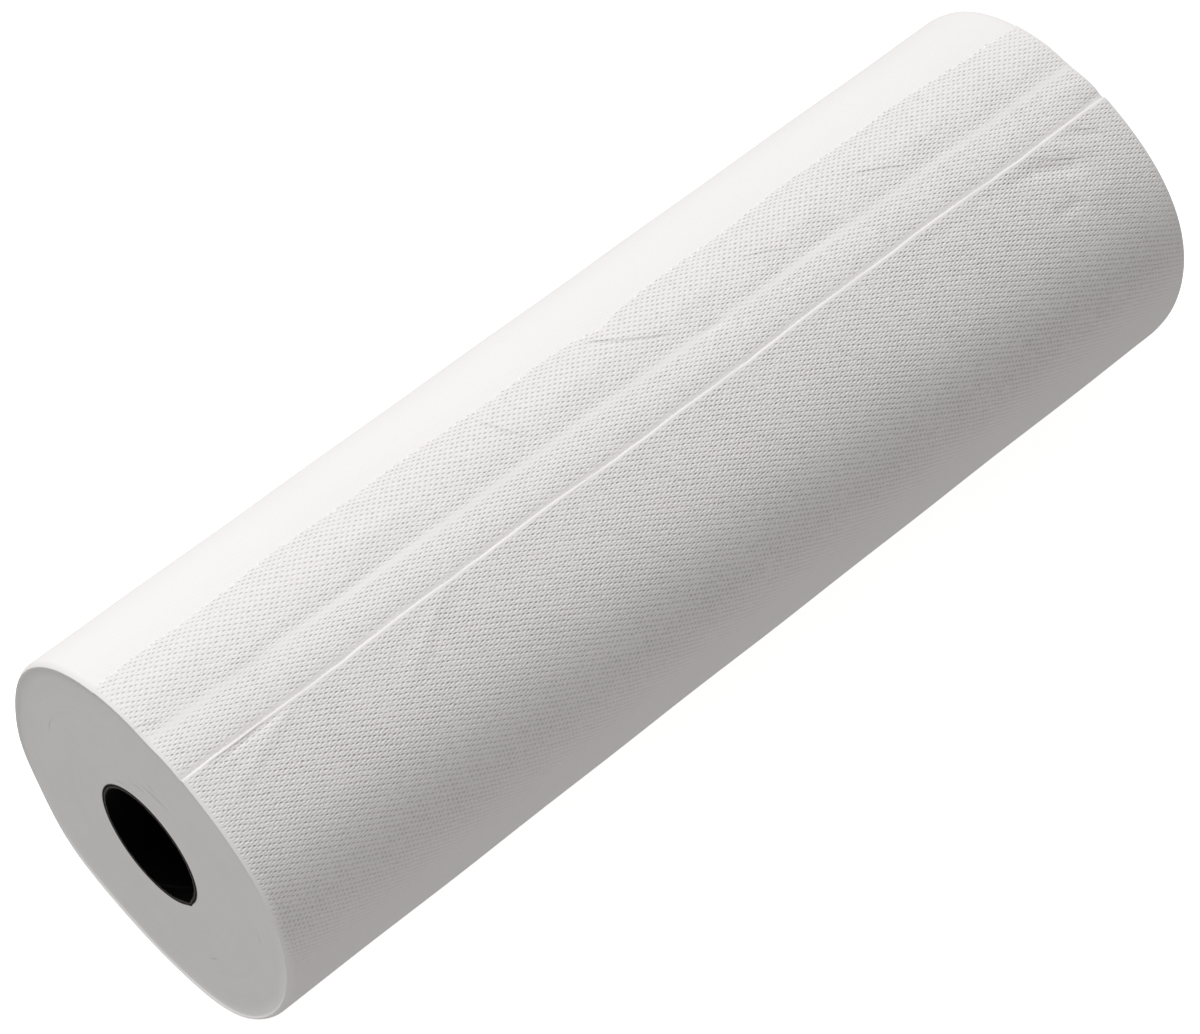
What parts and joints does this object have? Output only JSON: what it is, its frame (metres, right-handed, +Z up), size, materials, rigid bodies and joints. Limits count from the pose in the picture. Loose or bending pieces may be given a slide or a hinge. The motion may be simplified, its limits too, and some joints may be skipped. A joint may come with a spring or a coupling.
{
  "type": "exam table paper roll",
  "caption": "Wide roll of embossed soft paper wound on a cardboard tube, lying on its side with a torn tail and a fold along the top.",
  "frame": {"origin": "on the table under the middle of the roll's box, the roll lying on its side on its small flat", "axes": "+X along the roll away from the end nearest the viewer, +Z up, +Y towards the side where the tail tears off"},
  "size_m": [0.39, 0.1304, 0.1289],
  "materials": {
    "embossed_paper": "matt",
    "core_board": "matt"
  },
  "bodies": {
    "root": {"paper_web": "embossed_paper", "core_tube": "core_board"}
  },
  "joints": []
}
